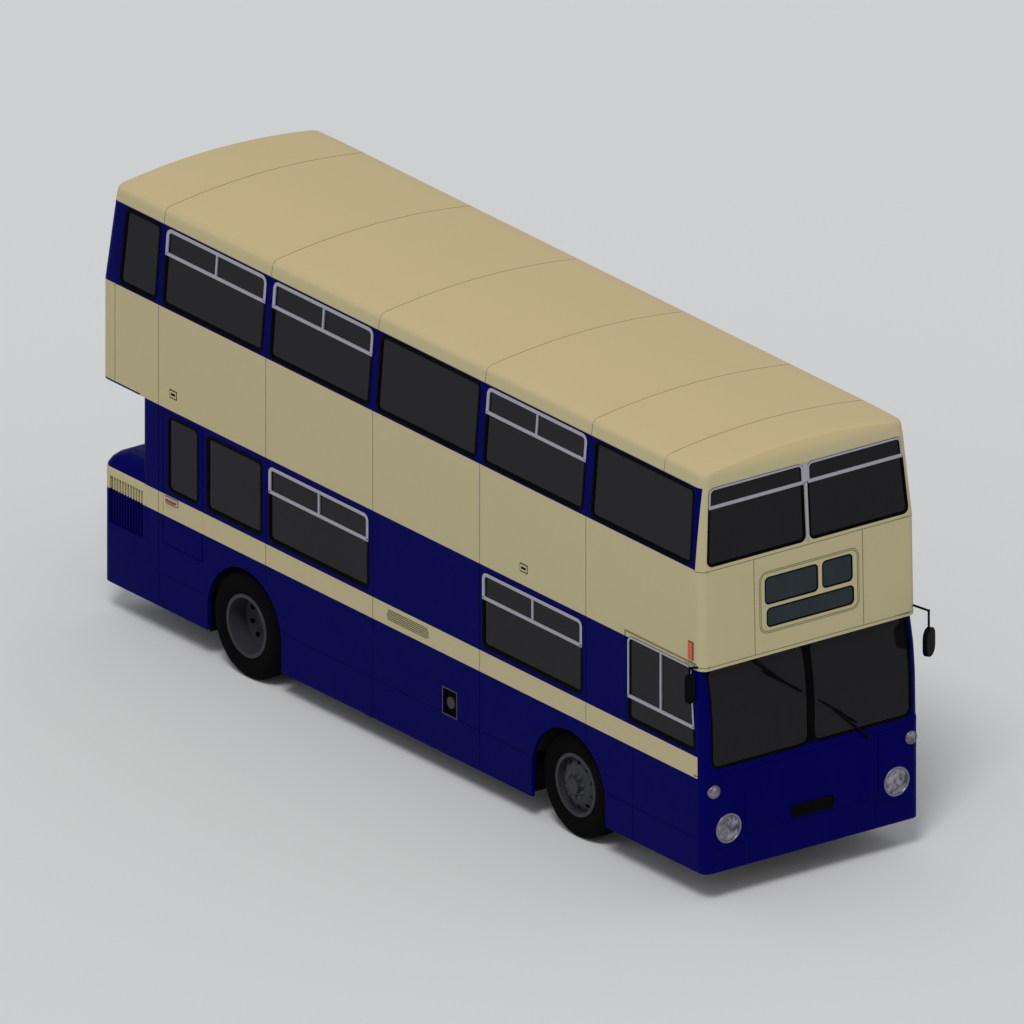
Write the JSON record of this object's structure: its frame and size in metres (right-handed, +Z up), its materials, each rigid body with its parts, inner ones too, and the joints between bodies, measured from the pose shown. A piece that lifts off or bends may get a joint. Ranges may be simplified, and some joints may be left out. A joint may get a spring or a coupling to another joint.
{
  "type": "double decker bus",
  "caption": "Rear-engined double decker bus with jack-knife entrance doors, hinged emergency door, engine bonnet and upper rear exit, steered front wheels and twinned rear wheels.",
  "frame": {"origin": "on the ground, at the middle of the whole outline in plan", "axes": "+X towards the front, +Y towards the kerb side with the entrance, +Z up"},
  "size_m": [9.545, 2.72, 4.35],
  "materials": {
    "blue_paint": "gloss",
    "cream_paint": "gloss",
    "glass": "gloss",
    "tyre": "matte",
    "wheel": "satin",
    "chassis": "matte",
    "floor": "matte",
    "seat_fabric": "matte",
    "engine": "satin",
    "rail": "polished",
    "lamp": "polished",
    "black_trim": "satin"
  },
  "bodies": {
    "body": {"chassis_rails": "chassis", "crossmembers": "chassis", "tow_brackets": "chassis", "entrance_floor": "floor", "lower_floor": "floor", "wheel_boxes": "floor", "entrance_step": "floor", "upper_floor": "floor", "staircase": "floor", "offside_lower_panel": "blue_paint", "nearside_lower_panel": "blue_paint", "offside_upper_panel": "cream_paint", "nearside_upper_panel": "cream_paint", "front_lower_panel": "blue_paint", "front_upper_panel": "cream_paint", "rear_upper_panel": "cream_paint", "saloon_rear_wall": "cream_paint", "pod_offside_panel": "blue_paint", "pod_nearside_panel": "blue_paint", "rear_valance": "blue_paint", "side_grilles": "blue_paint", "roof": "cream_paint", "front_glass": "glass", "side_glass": "glass", "rear_glass": "glass", "lower_seats": "seat_fabric", "upper_seats": "seat_fabric", "cab_partition": "cream_paint", "dashboard": "black_trim", "handrails": "rail", "engine": "engine", "fuel_tank": "chassis", "lamps": "lamp", "number_plates": "black_trim", "wipers": "black_trim", "mirrors": "black_trim", "front_axle": "chassis", "rear_axle": "chassis"},
    "left_knuckle": {"left_knuckle": "chassis"},
    "right_knuckle": {"right_knuckle": "chassis"},
    "track_rod": {"track_rod": "chassis"},
    "steering_wheel": {"steering_wheel": "black_trim"},
    "front_left_wheel": {"front_left_rim": "wheel", "front_left_tyre": "tyre"},
    "front_right_wheel": {"front_right_rim": "wheel", "front_right_tyre": "tyre"},
    "rear_left_wheels": {"rear_left_rims": "wheel", "rear_left_tyres": "tyre"},
    "rear_right_wheels": {"rear_right_rims": "wheel", "rear_right_tyres": "tyre"},
    "front_door_outer_leaf": {"front_door_outer_leaf": "cream_paint"},
    "front_door_inner_leaf": {"front_door_inner_leaf": "cream_paint"},
    "rear_door_outer_leaf": {"rear_door_outer_leaf": "cream_paint"},
    "rear_door_inner_leaf": {"rear_door_inner_leaf": "cream_paint"},
    "emergency_door": {"emergency_door": "blue_paint"},
    "engine_bonnet": {"engine_bonnet": "blue_paint"},
    "upper_emergency_exit": {"upper_emergency_exit": "cream_paint"}
  },
  "joints": [
    {"name": "steer_left", "type": "hinge", "parent": "body", "child": "left_knuckle", "pos_m": [2.47053, 0.949, 0.521], "axis": [0, 0, 1], "range_deg": [-35, 35]},
    {"name": "steer_right", "type": "hinge", "parent": "body", "child": "right_knuckle", "pos_m": [2.47053, -0.949, 0.521], "axis": [0, 0, 1], "range_deg": [-35, 35]},
    {"name": "track_rod_swing", "type": "hinge", "parent": "left_knuckle", "child": "track_rod", "pos_m": [2.34053, 0.949, 0.3697], "axis": [0, 0, 1], "range_deg": [-35, 35]},
    {"name": "steering_wheel_turn", "type": "hinge", "parent": "body", "child": "steering_wheel", "pos_m": [4.15953, -0.75, 1.08], "axis": [-0.5, 0, 0.866], "range_deg": [-530, 530]},
    {"name": "front_left_spin", "type": "hinge", "parent": "left_knuckle", "child": "front_left_wheel", "pos_m": [2.47053, 1.049, 0.521], "axis": [0, 1, 0], "continuous": true},
    {"name": "front_right_spin", "type": "hinge", "parent": "right_knuckle", "child": "front_right_wheel", "pos_m": [2.47053, -1.049, 0.521], "axis": [0, 1, 0], "continuous": true},
    {"name": "rear_left_spin", "type": "hinge", "parent": "body", "child": "rear_left_wheels", "pos_m": [-2.54447, 1.107, 0.521], "axis": [0, 1, 0], "continuous": true},
    {"name": "rear_right_spin", "type": "hinge", "parent": "body", "child": "rear_right_wheels", "pos_m": [-2.54447, -1.107, 0.521], "axis": [0, 1, 0], "continuous": true},
    {"name": "front_door_fold", "type": "hinge", "parent": "body", "child": "front_door_outer_leaf", "pos_m": [4.31403, 1.226, 1.3], "axis": [0, 0, 1], "range_deg": [0, 80]},
    {"name": "front_door_inner_fold", "type": "hinge", "parent": "front_door_outer_leaf", "child": "front_door_inner_leaf", "pos_m": [4.02953, 1.238, 1.3], "axis": [0, 0, 1], "range_deg": [-160, 0]},
    {"name": "rear_door_fold", "type": "hinge", "parent": "body", "child": "rear_door_outer_leaf", "pos_m": [3.14503, 1.226, 1.3], "axis": [0, 0, -1], "range_deg": [0, 80]},
    {"name": "rear_door_inner_fold", "type": "hinge", "parent": "rear_door_outer_leaf", "child": "rear_door_inner_leaf", "pos_m": [3.42953, 1.238, 1.3], "axis": [0, 0, -1], "range_deg": [-160, 0]},
    {"name": "emergency_door_swing", "type": "hinge", "parent": "body", "child": "emergency_door", "pos_m": [-3.20847, -1.233, 1.6], "axis": [0, 0, 1], "range_deg": [0, 95]},
    {"name": "engine_bonnet_lift", "type": "hinge", "parent": "body", "child": "engine_bonnet", "pos_m": [-4.20547, 0, 1.575], "axis": [0, 1, 0], "range_deg": [0, 70]},
    {"name": "upper_exit_lift", "type": "hinge", "parent": "body", "child": "upper_emergency_exit", "pos_m": [-4.66357, 0, 4.052], "axis": [0, 1, 0], "range_deg": [0, 80]}
  ],
  "couplings": [
    {"joint": "steer_right", "follows": "steer_left", "ratio": 1},
    {"joint": "track_rod_swing", "follows": "steer_left", "ratio": -1},
    {"joint": "steering_wheel_turn", "follows": "steer_left", "ratio": 15},
    {"joint": "front_door_inner_fold", "follows": "front_door_fold", "ratio": -2},
    {"joint": "rear_door_inner_fold", "follows": "rear_door_fold", "ratio": -2}
  ]
}
